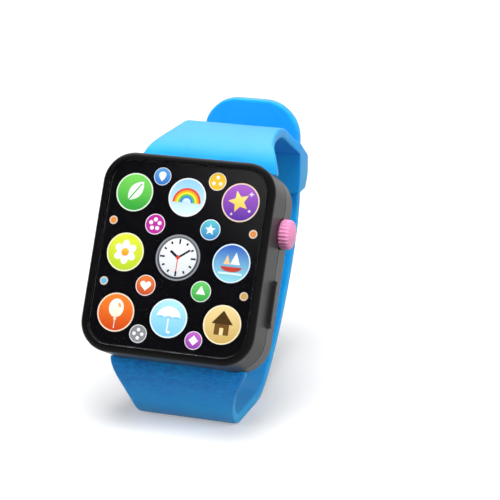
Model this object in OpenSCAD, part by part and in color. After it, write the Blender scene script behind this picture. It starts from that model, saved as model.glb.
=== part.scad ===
// Toy wrist watch with a picture dial, standing on its own closed strap.
// The ground is z = 0, the face looks towards -Y, and the origin is the middle
// of the flat patch of strap that the watch stands on.

/* [Case] */
// Width of the case
case_w = 40; // [38:0.5:46]
// Height of the case along its face
case_h = 44.6; // [43:0.2:52]
// Corner radius of the case seen from the front
case_r = 7; // [6:0.25:9]
// Wall of the front shell and of the back cover
wall = 1.4; // [1.1:0.1:1.7]
// Rounding of the rim and of the back edge
edge_r = 1.3; // [0.6:0.1:1.4]
// Lean of the case away from the viewer, in degrees
lean = 27.4; // [20:0.2:34]
// Distance from the board to the joint between the two shells
joint_rise = 4.2; // [3.6:0.1:5]
// Width of the parting line round the case, between the two shells
seam_w = 0.3; // [0.2:0.1:0.5]
// Depth of the parting line
seam_d = 0.4; // [0.2:0.1:0.6]

/* [Screen] */
// Width of the rim around the lens
rim_w = 1.5; // [1.4:0.1:2.2]
// How far the lens lies below the rim
lens_inset = 0.4; // [0.2:0.1:0.8]
// Thickness of the clear lens
lens_t = 1; // [0.6:0.1:1.6]
// Thickness of the printed card
card_t = 0.3; // [0.2:0.1:0.6]
// Thickness of the adhesive tape
tape_t = 0.2; // [0.1:0.1:0.5]
// Width of the shelf that the tape sticks to
shelf_w = 2.2; // [1.6:0.1:3]
// Thickness of the shelf
shelf_t = 1.2; // [0.8:0.1:1.6]
// Thickness of the touch sheet
sheet_t = 0.3; // [0.2:0.1:0.6]

/* [Board] */
// Thickness of the circuit board
board_t = 1; // [0.6:0.1:1.6]
// Space between the board and the battery well
board_space = 1.8; // [1.6:0.1:3]
// Height of a lamp
lamp_h = 1.8; // [1.5:0.1:2.4]
// Diameter of a lamp
lamp_d = 3; // [2:0.2:4]
// Diameter of the sealed sound chip
chip_d = 8; // [6:0.5:10]
// Height of the sealed sound chip
chip_h = 1.4; // [1:0.1:1.6]

/* [Buttons] */
// Diameter of the crown
crown_d = 6.6; // [6:0.2:7.4]
// How far the crown stands out of the case
crown_out = 2.9; // [2.3:0.1:3.6]
// Diameter of the crown's stem
stem_d = 3.2; // [2.6:0.1:3.6]
// Place of the crown above the middle of the case
crown_up = 8.7; // [6:0.1:10]
// Number of grooves round the crown
flutes = 24; // [16:1:32]
// Length of the side button
button_l = 10.4; // [8:0.2:11]
// Width of the side button
button_w = 2.6; // [2:0.1:3]
// How far the side button stands out of the case
button_out = 1; // [0.6:0.1:1.2]
// Place of the side button below the middle of the case
button_down = 7; // [6:0.1:8]
// Travel of the crown
crown_travel = 0.6; // [0.3:0.1:0.7]
// Travel of the side button
button_travel = 0.5; // [0.3:0.1:0.6]

/* [Speaker] */
// Diameter of the speaker
speaker_d = 15; // [13:0.5:18]
// Height of the speaker's frame
speaker_h = 3.2; // [2.6:0.1:4]
// Diameter of the magnet
magnet_d = 8; // [7:0.5:9.5]
// Height of the magnet
magnet_h = 2.6; // [1.8:0.1:3]
// Diameter of a sound hole
sound_d = 1.2; // [0.8:0.1:1.6]

/* [Battery] */
// Diameter of a button cell
cell_d = 11.6; // [11:0.1:11.8]
// Height of a button cell
cell_h = 5.4; // [4.6:0.1:5.8]
// Thickness of the contact plates
contact_t = 0.3; // [0.2:0.1:0.5]
// Wall of the battery well
well_wall = 0.9; // [0.7:0.1:1]
// Gap between the battery well and the switches
switch_gap = 1.1; // [0.6:0.1:1.8]
// Seat of the battery door on the well's wall
door_seat = 0.6; // [0.4:0.1:0.7]

/* [Fasteners] */
// Diameter of a screw post
post_d = 4.4; // [4.2:0.1:4.8]
// Diameter of a screw's shank
screw_d = 1.6; // [1.2:0.1:1.8]
// Diameter of a screw's head
head_d = 3.2; // [2.6:0.1:3.4]
// Height of a screw's head
head_h = 0.8; // [0.6:0.1:0.9]
// Length of a case screw under its head
case_screw_l = 8; // [7:0.5:9]
// Length of the door screw under its head
door_screw_l = 4; // [3:0.5:5]

/* [Strap] */
// Width of the strap
strap_w = 23.6; // [20:0.2:25]
// Width of the strap at the case
strap_root_w = 33; // [30:0.5:34]
// Thickness of the strap
strap_t = 2.3; // [1.8:0.1:2.6]
// Gap between the tongue that goes into the case and the screw posts
tongue_gap = 1.1; // [0.6:0.1:3]
// Length of the bead that holds the tongue
bead_l = 1.8; // [1.2:0.1:2]
// Height of the keeper
keeper_h = 9.8; // [8:0.2:12]
// Outer wall of the keeper
keeper_wall = 1.6; // [1.2:0.1:2.4]
// Side wall of the keeper
keeper_side = 1.1; // [0.9:0.1:2]
// Length of the tail above the keeper
tail_out = 11.6; // [10:0.2:20]
// Corner radius of the tail's end
tail_r = 8.5; // [5:0.5:9.5]
// Diameter of the peg in the keeper
peg_d = 2.4; // [2:0.1:3]
// Distance between strap holes
hole_pitch = 7; // [5:0.5:8]
// Number of strap holes
hole_count = 5; // [3:1:6]

/* [Stance] */
// Length of strap that lies flat on the ground
flat_l = 13; // [11:0.5:18]
// Height of the lower strap's root above the ground
root_rise = 15.4; // [13:0.2:20]
// Distance from the lower strap's root back to the middle of the flat
root_reach = 13.7; // [12:0.1:16]
// Distance from the upper strap's root back to the crest
crest_run = 15; // [12:0.2:20]
// Rise of the crest above the upper strap's root
crest_rise = 5; // [4:0.2:9]
// Distance from the crest back to the keeper
keeper_run = 12.1; // [10:0.1:16]
// Drop from the crest to the keeper's inner edge
keeper_drop = 7.8; // [7:0.1:11]
// Slope of the strap where it reaches the keeper, in degrees
keeper_slope = 36; // [30:1:42]

/* [Fits] */
// Clearance between fixed pieces
fit = 0.1; // [0.05:0.05:0.15]
// Clearance round pieces that move
slip = 0.2; // [0.15:0.05:0.25]
// Clearance between the strap and its keeper
strap_gap = 0.25; // [0.2:0.05:0.3]

/* [Hidden] */
$fn = 48;

// Overrun of every cut, and the depth that joined shapes share
over = 1;
lap = 0.3;

// Depths in the case, measured back from the rim
shelf_z = -lens_inset - lens_t - card_t - tape_t;
card_z = -lens_inset - lens_t - card_t;
sheet_z = card_z - sheet_t;
board_z = sheet_z - slip - lamp_h;
board_back = board_z - board_t;
front_d = joint_rise - board_back;
floor_t = well_wall;
floor_z = board_back - board_space - floor_t;
cell_front = floor_z - contact_t;
cell_back = cell_front - cell_h;
back_in = cell_back - contact_t;
case_d = wall - back_in;

// Plan sizes in the case
in_w = case_w - 2 * wall;
in_h = case_h - 2 * wall;
recess_w = case_w - 2 * rim_w;
recess_h = case_h - 2 * rim_w;
recess_r = case_r - rim_w;
window_w = recess_w - 2 * shelf_w;
window_h = recess_h - 2 * shelf_w;
window_r = max(recess_r - shelf_w, lap);
board_gap = 0.5;
board_w = in_w - 2 * board_gap;
board_h = in_h - 2 * board_gap;
flex_w = 6;
rest_w = 2;
rest_l = 6;
rest_up = board_h / 4;
post_run = (case_r - wall - post_d / 2 + lap) * sin(45);
post_x = case_w / 2 - case_r + post_run;
post_y = case_h / 2 - case_r + post_run;
pilot_d = screw_d + 2 * fit;
head_seat = head_h + 2 * fit;
screw_tip = head_seat + case_screw_l - case_d;
door_tip = head_seat + door_screw_l - case_d;
slot_l_share = 0.6;
slot_w_share = 0.17;

// Buttons and their switches
bush_d = stem_d + 2 * slip;
flange_t = 0.8;
flange_rim = 1.1;
flange_x = in_w / 2 - slip - flange_t;
switch_l = 6;
switch_w = 3.8;
switch_wall = 1;
plunger_d = 3;
plunger_in = 1.4;
plunger_out = 1.2;
switch_x = flange_x - plunger_out;
switch_back = front_d + plunger_d / 2 + slip + switch_wall;
flute_d = 0.56;
dome_share = 0.85;
dome_r = dome_share * crown_d;
crown_recess = crown_travel + slip;

// Battery well and door
cell_gap = 0.3;
cell_pitch = cell_d + 2 * cell_gap;
well_l = cell_pitch + cell_d + 2 * cell_gap;
well_w = cell_d + 2 * cell_gap;
well_r = 1.5;
inner_left = well_l / 2 + well_wall + switch_gap - switch_x + switch_w;
door_l = well_l + 2 * door_seat;
door_w = well_w + 2 * door_seat;
door_r = well_r + door_seat;
door_post_d = 3.4;
door_post_drop = sqrt(pow((cell_d + door_post_d) / 2 + cell_gap, 2) - pow(cell_pitch / 2, 2));
blade_w = 2.4;
bridge_w = 5;
nail_w = 8;
nail_d = 0.7;
contact_d = 7;
pin_d = 2.4;
cell_step = 0.4;
cell_cap_share = 0.2;

// Speaker details; the cells and the speaker lie centred together in the case
frame_wall = 0.8;
cell_down = (lap + 2 * fit + speaker_d + frame_wall) / 2;
speaker_up = well_w / 2 - cell_down + well_wall + lap + fit + speaker_d / 2;
vent_d = 2;
vent_r = (speaker_d / 2 - frame_wall + magnet_d / 2) / 2;
cone_rim_share = 0.8;
cone_cap_share = 0.35;
cone_t = 0.3;
cone_deep = 1.1;
lead_d = 0.8;
lead_gap = 3;
sound_share = 0.34;
sound_pitch = sound_share * (speaker_d / 2 - frame_wall);

// Strap root, path and keeper
bead_step = 0.4;
bead_t = strap_t + 2 * bead_step;
strap_z = back_in + bead_t / 2 + fit;
neck_l = 1.2;
tongue_w = 2 * (post_x - post_d / 2 - tongue_gap);
up_dir = [sin(lean), cos(lean)];
out_dir = [-cos(lean), sin(lean)];
low_root = [-root_reach, root_rise];
face_mid = low_root + up_dir * case_h / 2 - out_dir * strap_z;
high_root = face_mid + up_dir * case_h / 2 + out_dir * strap_z;
keeper_slot = strap_t + 2 * strap_gap;
keeper_t = strap_t + keeper_slot + keeper_wall;
keeper_w = strap_w + 2 * strap_gap + 2 * keeper_side;
crest = high_root + [crest_run, crest_rise];
keeper_edge = crest + [keeper_run, -keeper_drop];
keeper_foot = keeper_edge[1] - keeper_h;
slope_dir = [cos(keeper_slope), -sin(keeper_slope)];
slope_up = [sin(keeper_slope), cos(keeper_slope)];
slope_drop = keeper_t * tan(keeper_slope);
slope_rise = strap_t / cos(keeper_slope);
tail_y = keeper_edge[0] + strap_t + keeper_slot / 2;
tail_top = keeper_edge[1] + tail_out;
flat_start = [-flat_l / 2, strap_t / 2];
flat_end = [flat_l / 2, strap_t / 2];

// How strongly each bend of the strap holds its start and its end, as shares of its chord
front_bend_shares = [0.14, 0.25];
far_bend_shares = [0.17, 0.28];
rise_bend_shares = [0.2, 0.4];
fall_bend_shares = [0.38, 0.41];
bend_steps = 14;
far_steps = 28;
taper_steps = 8;

// Places on the board, as shares of its width and height from the middle
lamp_shares = [[-0.24, 0.26], [0.24, 0.26], [0, -0.28]];
chip_shares = [-0.22, 0.12];
flex_share = 0.42;

// A path is a list of stations, each a point in the side view and its unit direction
function unit(v) = v / norm(v);
function curve_at(p, t) = pow(1 - t, 3) * p[0] + 3 * pow(1 - t, 2) * t * p[1]
    + 3 * (1 - t) * pow(t, 2) * p[2] + pow(t, 3) * p[3];
function curve_dir(p, t) = unit(pow(1 - t, 2) * (p[1] - p[0]) + 2 * (1 - t) * t * (p[2] - p[1])
    + pow(t, 2) * (p[3] - p[2]));
function bend_points(a, a_dir, b, b_dir, shares) = let (chord = norm(b - a))
    [a, a + a_dir * shares[0] * chord, b - b_dir * shares[1] * chord, b];
function bend(a, a_dir, b, b_dir, shares, steps) = let (p = bend_points(a, a_dir, b, b_dir, shares))
    [for (i = [0:steps]) [curve_at(p, i / steps), curve_dir(p, i / steps)]];
function side_of(s, d) = s[0] + d * [-s[1][1], s[1][0]];
function band_outline(path, t) = concat([for (s = path) side_of(s, t / 2)],
    [for (i = [len(path) - 1:-1:0]) side_of(path[i], -t / 2)]);

// The station at a distance along a path
function station_at(path, d, i = 0) = let (step = norm(path[i + 1][0] - path[i][0]))
    d <= step || i == len(path) - 2
    ? [path[i][0] + (path[i + 1][0] - path[i][0]) * d / step, path[i][1]]
    : station_at(path, d - step, i + 1);
function reversed(path) = [for (i = [len(path) - 1:-1:0]) path[i]];

front_neck = low_root - up_dir * (fit + neck_l);
front_path = concat([[low_root - up_dir * fit, -up_dir]],
    bend(front_neck, -up_dir, flat_start, [1, 0], front_bend_shares, bend_steps));
far_path = concat([[flat_start, [1, 0]]],
    bend(flat_end, [1, 0], [tail_y, keeper_foot], [0, 1], far_bend_shares, far_steps),
    [[[tail_y, tail_top], [0, 1]]]);
high_neck = high_root + up_dir * (fit + neck_l);
slope_start = keeper_edge + slope_up * strap_t / 2;
rise_path = concat([[high_root + up_dir * fit, up_dir]],
    bend(high_neck, up_dir, crest, [1, 0], rise_bend_shares, bend_steps));
fall_path = bend(crest, [1, 0], slope_start, slope_dir, fall_bend_shares, bend_steps);

// Moves shapes drawn face up, with the rim at z = 0, to where the case leans
module in_case() {
    translate([0, face_mid[0], face_mid[1]]) rotate([90 - lean, 0, 0]) children();
}

// Extrudes a shape drawn in the side view, y across and z up, along x
module across(w) {
    rotate([90, 0, 90]) linear_extrude(w, center = true) children();
}

module round_rect(w, h, r) {
    square([w - 2 * r, h], center = true);
    square([w, h - 2 * r], center = true);
    for (x = [-1, 1], y = [-1, 1]) translate([x * (w / 2 - r), y * (h / 2 - r)]) circle(r);
}

// A rounded slab whose upper face is at z
module slab(w, h, r, t, z) {
    translate([0, 0, z - t]) linear_extrude(t) round_rect(w, h, r);
}

module stadium(l, w) {
    square([w, l - w], center = true);
    for (y = [-1, 1]) translate([0, y * (l - w) / 2]) circle(d = w);
}

// Sweeps a wall's section round the case, with x = 0 of the section on the corner's centre
module round_frame() {
    for (turn = [0:3]) {
        side = turn % 2 == 0 ? case_w : case_h;
        long = turn % 2 == 0 ? case_h : case_w;
        rotate([0, 0, 90 * turn]) translate([side / 2 - case_r, long / 2 - case_r, 0]) {
            rotate_extrude(angle = 90) children();
            rotate([90, 0, 0]) linear_extrude(long - 2 * case_r) children();
        }
    }
}

module at_posts() {
    for (x = [-1, 1], y = [-1, 1]) translate([x * post_x, y * post_y, 0]) children();
}

module at_well() {
    translate([-inner_left, -cell_down, 0]) children();
}

module at_cell(side) {
    at_well() translate([side * cell_pitch / 2, 0, 0]) children();
}

module at_door_post() {
    at_well() translate([0, -door_post_drop, 0]) children();
}

// The speaker stands on the inside of the back plate
module at_speaker() {
    translate([-inner_left, speaker_up, back_in]) children();
}

// Turns a shape drawn upwards so that it points out of the case's right side, from x
module from_right(up, x) {
    translate([x, up, -front_d]) rotate([0, 90, 0]) children();
}

// The gaps in the wall for the crown's stem and for the side button, and the recess
// that the crown's foot goes into when it is pressed
module button_gaps() {
    from_right(crown_up, in_w / 2 - over) cylinder(d = bush_d, h = wall + 2 * over);
    from_right(crown_up, case_w / 2 - crown_recess)
        cylinder(d = crown_d + 2 * slip, h = crown_recess + over);
    from_right(-button_down, in_w / 2 - over) linear_extrude(wall + 2 * over)
        stadium(button_l + 2 * slip, button_w + 2 * slip);
}

// The section of the front shell's wall: wall, shelf, rounded rim and parting line
module front_section() {
    difference() {
        union() {
            translate([case_r - wall, -front_d]) square([wall, front_d + shelf_z]);
            translate([recess_r - shelf_w, shelf_z - shelf_t]) square([shelf_w + rim_w, shelf_t]);
            translate([recess_r, shelf_z - shelf_t]) square([rim_w, shelf_t - shelf_z]);
        }
        translate([case_r - edge_r, -edge_r]) difference() {
            square(edge_r + over);
            circle(edge_r);
        }
        translate([case_r - seam_d, -front_d - over]) square([seam_d + over, seam_w + over]);
    }
}

// The bar that closes the notch over a strap's tongue
module tongue_bar(end) {
    bar_t = lap - front_d - strap_z - strap_t / 2 - fit;
    translate([0, end * (case_h - wall) / 2, lap - front_d - bar_t / 2])
        cube([tongue_w, wall, bar_t], center = true);
}

module board_rests() {
    rest_t = shelf_z - shelf_t - board_z;
    for (x = [-1, 1], y = [-1, 1])
        translate([x * (in_w - rest_w + lap) / 2, y * rest_up, board_z + rest_t / 2])
            cube([rest_w + lap, rest_l, rest_t], center = true);
}

module front_shell() color([0.09, 0.09, 0.1]) in_case() difference() {
    union() {
        round_frame() front_section();
        at_posts() translate([0, 0, -front_d])
            cylinder(d = post_d, h = front_d + shelf_z - shelf_t + lap);
        board_rests();
        for (end = [-1, 1]) tongue_bar(end);
    }
    button_gaps();
    at_posts() translate([0, 0, -front_d - over])
        cylinder(d = pilot_d, h = over + front_d + screw_tip + fit);
}

// The section of the back cover's wall, rounded at its back edge
module back_section() {
    translate([case_r - wall, edge_r - case_d]) square([wall, case_d - edge_r - front_d]);
    intersection() {
        translate([case_r - edge_r, edge_r - case_d]) circle(edge_r);
        translate([case_r - edge_r, -case_d]) square(edge_r);
    }
}

module sound_holes() {
    translate([-inner_left, speaker_up, -case_d - over]) {
        cylinder(d = sound_d, h = wall + 2 * over);
        for (ring = [1, 2], i = [0:6 * ring - 1]) rotate([0, 0, 60 / ring * i])
            translate([ring * sound_pitch, 0, 0]) cylinder(d = sound_d, h = wall + 2 * over);
    }
}

// The back plate and wall with the battery well and the speaker's ring
module back_body() {
    difference() {
        union() {
            round_frame() back_section();
            slab(case_w - 2 * edge_r, case_h - 2 * edge_r, case_r - edge_r, wall, back_in);
            at_posts() translate([0, 0, back_in - lap]) cylinder(d = post_d, h = lap - front_d - back_in);
            at_well() slab(well_l + 2 * well_wall, well_w + 2 * well_wall, well_r + well_wall,
                floor_z + floor_t - back_in + lap, floor_z + floor_t);
            at_speaker() translate([0, 0, -lap])
                cylinder(d = speaker_d + 2 * fit + 2 * frame_wall, h = speaker_h / 2 + lap);
        }
        at_well() slab(well_l, well_w, well_r, floor_z - back_in + over, floor_z);
        at_well() slab(door_l + 2 * slip, door_w + 2 * slip, door_r + slip, wall + over, back_in);
        at_speaker() cylinder(d = speaker_d + 2 * fit, h = speaker_h);
        sound_holes();
    }
}

module tongue_notch(end) {
    translate([-tongue_w / 2 - fit, end * case_h / 2 - wall - fit, strap_z - strap_t / 2 - fit])
        cube([tongue_w + 2 * fit, 2 * (wall + fit), case_d]);
}

module back_cover() color([0.1, 0.1, 0.11]) in_case() difference() {
    union() {
        back_body();
        at_door_post() translate([0, 0, back_in]) cylinder(d = door_post_d, h = floor_z - back_in + lap);
        for (x = [-1, 1]) at_well() translate([x * well_l / 4, well_w / 2 - pin_d / 2, floor_z])
            cylinder(d = pin_d, h = board_back - floor_z);
    }
    button_gaps();
    at_posts() translate([0, 0, -case_d - over]) {
        cylinder(d = pilot_d, h = case_d);
        cylinder(d = head_d + 2 * slip, h = over + head_seat);
    }
    at_door_post() translate([0, 0, back_in - over])
        cylinder(d = pilot_d, h = over + door_tip - back_in + fit);
    for (end = [-1, 1]) tongue_notch(end);
    for (side = [-1, 1]) at_cell(side) translate([-blade_w / 2 - fit, -contact_t / 2 - fit, floor_z - over])
        cube([blade_w + 2 * fit, contact_t + 2 * fit, case_d]);
}

module screen_lens() color([0.75, 0.8, 0.85, 0.35]) in_case()
    slab(recess_w - 2 * fit, recess_h - 2 * fit, recess_r - fit, lens_t, -lens_inset);

module dial_card() color([0.05, 0.05, 0.07]) in_case()
    slab(recess_w - 2 * fit, recess_h - 2 * fit, recess_r - fit, card_t, -lens_inset - lens_t);

module screen_tape() color([0.16, 0.16, 0.17]) in_case() difference() {
    slab(recess_w - 2 * fit, recess_h - 2 * fit, recess_r - fit, tape_t, card_z);
    slab(window_w, window_h, window_r, tape_t + 2 * over, card_z + over);
}

module touch_sheet() color([0.8, 0.62, 0.3]) in_case() {
    slab(window_w - 2 * fit, window_h - 2 * fit, max(window_r - fit, lap), sheet_t, card_z);
    translate([-flex_w / 2, -flex_share * window_h, board_z])
        cube([flex_w, sheet_t, sheet_z - board_z + sheet_t / 2]);
}

module circuit_board() color([0.08, 0.36, 0.2]) in_case() difference() {
    slab(board_w, board_h, case_r - wall - board_gap, board_t, board_z);
    at_posts() translate([0, 0, board_back - over])
        cylinder(d = post_d + 2 * board_gap, h = board_t + 2 * over);
}

module at_chip() {
    translate([chip_shares[0] * board_w, chip_shares[1] * board_h, board_back]) children();
}

// The chip is sealed under a shallow drop of black resin
module sound_chip() color([0.04, 0.04, 0.05]) in_case() at_chip() intersection() {
    drop_r = (pow(chip_d / 2, 2) + pow(chip_h, 2)) / (2 * chip_h);
    translate([0, 0, drop_r - chip_h]) sphere(drop_r);
    translate([0, 0, -chip_h - over]) cylinder(d = chip_d + 2 * over, h = chip_h + over);
}

module lamps() color([0.95, 0.35, 0.2]) in_case() for (share = lamp_shares)
    translate([share[0] * board_w, share[1] * board_h, board_z]) {
        cylinder(d = lamp_d, h = lamp_h - lamp_d / 2 + lap);
        intersection() {
            translate([0, 0, lamp_h - lamp_d / 2]) sphere(d = lamp_d);
            cylinder(d = lamp_d + 2 * over, h = lamp_h);
        }
    }

module crown_button() color([0.96, 0.45, 0.66]) in_case() {
    from_right(crown_up, case_w / 2) difference() {
        intersection() {
            cylinder(d = crown_d, h = crown_out);
            translate([0, 0, crown_out - dome_r]) sphere(dome_r);
        }
        for (i = [0:flutes - 1]) rotate([0, 0, 360 / flutes * i]) translate([crown_d / 2, 0, -over])
            cylinder(d = flute_d, h = crown_out + 2 * over);
    }
    from_right(crown_up, flange_x) {
        cylinder(d = stem_d + 2 * flange_rim, h = flange_t);
        cylinder(d = stem_d, h = case_w / 2 + lap - flange_x);
    }
}

module side_button() color([0.06, 0.06, 0.07]) in_case() from_right(-button_down, flange_x) {
    linear_extrude(flange_t) stadium(button_l + 2 * flange_rim, button_w + 2 * flange_rim);
    linear_extrude(case_w / 2 + button_out - flange_x) stadium(button_l, button_w);
}

// A switch stands on the back of the board, its bore facing the button
module switch_body(up, travel) {
    difference() {
        translate([switch_x - switch_w, up - switch_l / 2, -switch_back])
            cube([switch_w, switch_l, switch_back + board_back]);
        from_right(up, switch_x - plunger_in - travel - slip)
            cylinder(d = plunger_d + 2 * slip, h = switch_w);
    }
}

module plunger(up) {
    from_right(up, switch_x - plunger_in) cylinder(d = plunger_d, h = plunger_in + plunger_out);
}

module crown_switch() color([0.2, 0.2, 0.22]) in_case() switch_body(crown_up, crown_travel);

module crown_plunger() color([0.85, 0.82, 0.75]) in_case() plunger(crown_up);

module side_switch() color([0.2, 0.2, 0.22]) in_case() switch_body(-button_down, button_travel);

module side_plunger() color([0.85, 0.82, 0.75]) in_case() plunger(-button_down);

module speaker_frame() color([0.55, 0.56, 0.58]) in_case() at_speaker() difference() {
    cylinder(d = speaker_d, h = speaker_h);
    translate([0, 0, -over]) cylinder(d = speaker_d - 2 * frame_wall, h = over + speaker_h - frame_wall);
    for (i = [0:3]) rotate([0, 0, 45 + 90 * i]) translate([vent_r, 0, 0])
        cylinder(d = vent_d, h = speaker_h + over);
}

module speaker_magnet() color([0.3, 0.31, 0.33]) in_case() at_speaker()
    translate([0, 0, speaker_h]) cylinder(d = magnet_d, h = magnet_h);

module speaker_cone() color([0.12, 0.12, 0.13]) in_case() at_speaker() {
    cone_r = speaker_d / 2 - frame_wall - fit;
    rim_r = cone_rim_share * cone_r;
    cap_r = cone_cap_share * cone_r;
    rotate_extrude() polygon([[0, cone_deep], [cap_r, cone_deep], [rim_r, 0], [cone_r, 0],
        [cone_r, cone_t], [rim_r, cone_t], [cap_r, cone_deep + cone_t], [0, cone_deep + cone_t]]);
}

module speaker_leads() color([0.75, 0.15, 0.12]) in_case() at_speaker() for (x = [-1, 1])
    translate([x * lead_gap / 2, vent_r, speaker_h])
        cylinder(d = lead_d, h = board_back - back_in - speaker_h);

// A button cell: a wide can and a slightly narrower cap
module cell() {
    cap_h = cell_cap_share * cell_h;
    cylinder(d = cell_d, h = cell_h - cap_h);
    cylinder(d = cell_d - 2 * cell_step, h = cell_h);
}

module cell_left() color([0.78, 0.79, 0.8]) in_case() at_cell(-1) translate([0, 0, cell_back]) cell();

module cell_right() color([0.78, 0.79, 0.8]) in_case() at_cell(1)
    translate([0, 0, cell_front]) mirror([0, 0, 1]) cell();

// A contact plate under a cell, with a blade through the well's floor to the board
module contact(side) {
    at_cell(side) translate([0, 0, cell_front]) {
        cylinder(d = contact_d, h = contact_t);
        translate([-blade_w / 2, -contact_t / 2, 0]) cube([blade_w, contact_t, board_back - cell_front]);
    }
}

module contact_left() color([0.85, 0.75, 0.45]) in_case() contact(-1);

module contact_right() color([0.85, 0.75, 0.45]) in_case() contact(1);

module battery_door() color([0.11, 0.11, 0.12]) in_case() difference() {
    at_well() slab(door_l, door_w, door_r, wall, back_in);
    at_door_post() translate([0, 0, -case_d - over]) {
        cylinder(d = pilot_d, h = wall + 2 * over);
        cylinder(d = head_d + 2 * slip, h = over + head_seat);
    }
    at_well() translate([-nail_w / 2, door_w / 2 - nail_d, -case_d - over])
        cube([nail_w, nail_d + over, nail_d + over]);
}

module door_bridge() color([0.85, 0.75, 0.45]) in_case() at_well()
    slab(cell_pitch + bridge_w, bridge_w, well_r, contact_t, cell_back);

// A round-headed screw with a cross recess, its head's underside at z = 0 and its tip up
module screw(l) {
    difference() {
        translate([0, 0, -head_h]) cylinder(d = head_d, h = head_h);
        for (turn = [0, 90]) rotate([0, 0, turn]) translate([0, 0, -head_h])
            cube([slot_l_share * head_d, slot_w_share * head_d, head_h], center = true);
    }
    translate([0, 0, -lap]) cylinder(d = screw_d, h = l + lap);
}

module door_screw() color([0.7, 0.71, 0.73]) in_case() at_door_post()
    translate([0, 0, head_seat - case_d]) screw(door_screw_l);

module case_screws() color([0.7, 0.71, 0.73]) in_case() at_posts()
    translate([0, 0, head_seat - case_d]) screw(case_screw_l);

// The strap's root at the upper end of the case: a tongue through the wall and its bead
module strap_root() {
    root_y = in_h / 2 - fit - bead_l;
    translate([-tongue_w / 2, root_y, strap_z - strap_t / 2])
        cube([tongue_w, case_h / 2 + fit + neck_l / 2 - root_y, strap_t]);
    translate([-tongue_w / 2, root_y, strap_z - bead_t / 2]) cube([tongue_w, bead_l, bead_t]);
}

module band(path, w) {
    across(w) polygon(band_outline(path, strap_t));
}

// Half the strap's width from its root on, narrowing fast at first, with the place of each step
function taper_side(start, run) = [for (i = [0:taper_steps]) let (share = i / taper_steps)
    [strap_w / 2 + (strap_root_w - strap_w) / 2 * pow(1 - share, 2), start + share * run]];
function both_sides(right) = concat(right, [for (i = [len(right) - 1:-1:0]) [-right[i][0], right[i][1]]]);

// The strap narrows from its root to the crest
module upper_taper() {
    linear_extrude(2 * crest[1]) polygon(both_sides(concat([[strap_root_w / 2, high_root[0] - strap_t]],
        taper_side(high_root[0], crest_run), [[strap_w / 2, crest[0] + over]])));
}

// The keeper's block, its top in line with the strap that runs into it
module keeper() {
    keeper_y = keeper_edge[0];
    top_z = keeper_edge[1] + slope_rise;
    difference() {
        across(keeper_w) polygon([[keeper_y, keeper_foot], [keeper_y + keeper_t, keeper_foot],
            [keeper_y + keeper_t, top_z - slope_drop], [keeper_y, top_z]]);
        translate([-strap_w / 2 - strap_gap, keeper_y + strap_t, keeper_foot - over])
            cube([strap_w + 2 * strap_gap, keeper_slot, top_z - keeper_foot + 2 * over]);
    }
    translate([0, keeper_y + strap_t - lap, keeper_foot + keeper_h / 2]) rotate([-90, 0, 0])
        cylinder(d = peg_d, h = lap + strap_gap + strap_t);
}

module upper_strap() color([0.2, 0.66, 0.95]) {
    intersection() {
        band(rise_path, strap_root_w);
        upper_taper();
    }
    band(fall_path, strap_w);
    keeper();
    in_case() strap_root();
}

// The strap narrows from its root to the ground
module lower_taper() {
    rotate([90, 0, 0]) linear_extrude(2 * (root_reach + root_rise), center = true)
        polygon(both_sides(concat([[strap_root_w / 2, root_rise + strap_t]],
            taper_side(root_rise, -root_rise), [[strap_w / 2, -over]])));
}

// The strap seen from the front, with the round corners of its tail
module tail_plan() {
    rotate([90, 0, 0]) linear_extrude(4 * tail_y, center = true) {
        translate([-strap_w / 2, -over]) square([strap_w, tail_top - tail_r + over]);
        translate([tail_r - strap_w / 2, -over]) square([strap_w - 2 * tail_r, tail_top + over]);
        for (x = [-1, 1]) translate([x * (strap_w / 2 - tail_r), tail_top - tail_r]) circle(tail_r);
    }
}

module strap_holes() {
    down_path = reversed(far_path);
    first = tail_top - keeper_foot - keeper_h / 2;
    for (i = [0:hole_count - 1]) {
        station = station_at(down_path, first + i * hole_pitch);
        translate([0, station[0][0], station[0][1]]) rotate([atan2(station[1][1], station[1][0]), 0, 0])
            cylinder(d = peg_d + 2 * strap_gap, h = 2 * strap_t, center = true);
    }
}

module lower_strap() color([0.13, 0.5, 0.85]) difference() {
    union() {
        intersection() {
            band(front_path, strap_root_w);
            lower_taper();
        }
        intersection() {
            band(far_path, strap_w);
            tail_plan();
        }
        in_case() mirror([0, 1, 0]) strap_root();
    }
    strap_holes();
}

front_shell();
back_cover();
screen_lens();
dial_card();
screen_tape();
touch_sheet();
circuit_board();
sound_chip();
lamps();
crown_button();
crown_switch();
crown_plunger();
side_button();
side_switch();
side_plunger();
speaker_frame();
speaker_magnet();
speaker_cone();
speaker_leads();
cell_left();
cell_right();
contact_left();
contact_right();
battery_door();
door_bridge();
door_screw();
case_screws();
upper_strap();
lower_strap();
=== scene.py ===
import bisect
import math

import bmesh
import bpy
from mathutils import Matrix, Vector
from mathutils.geometry import interpolate_bezier


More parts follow.
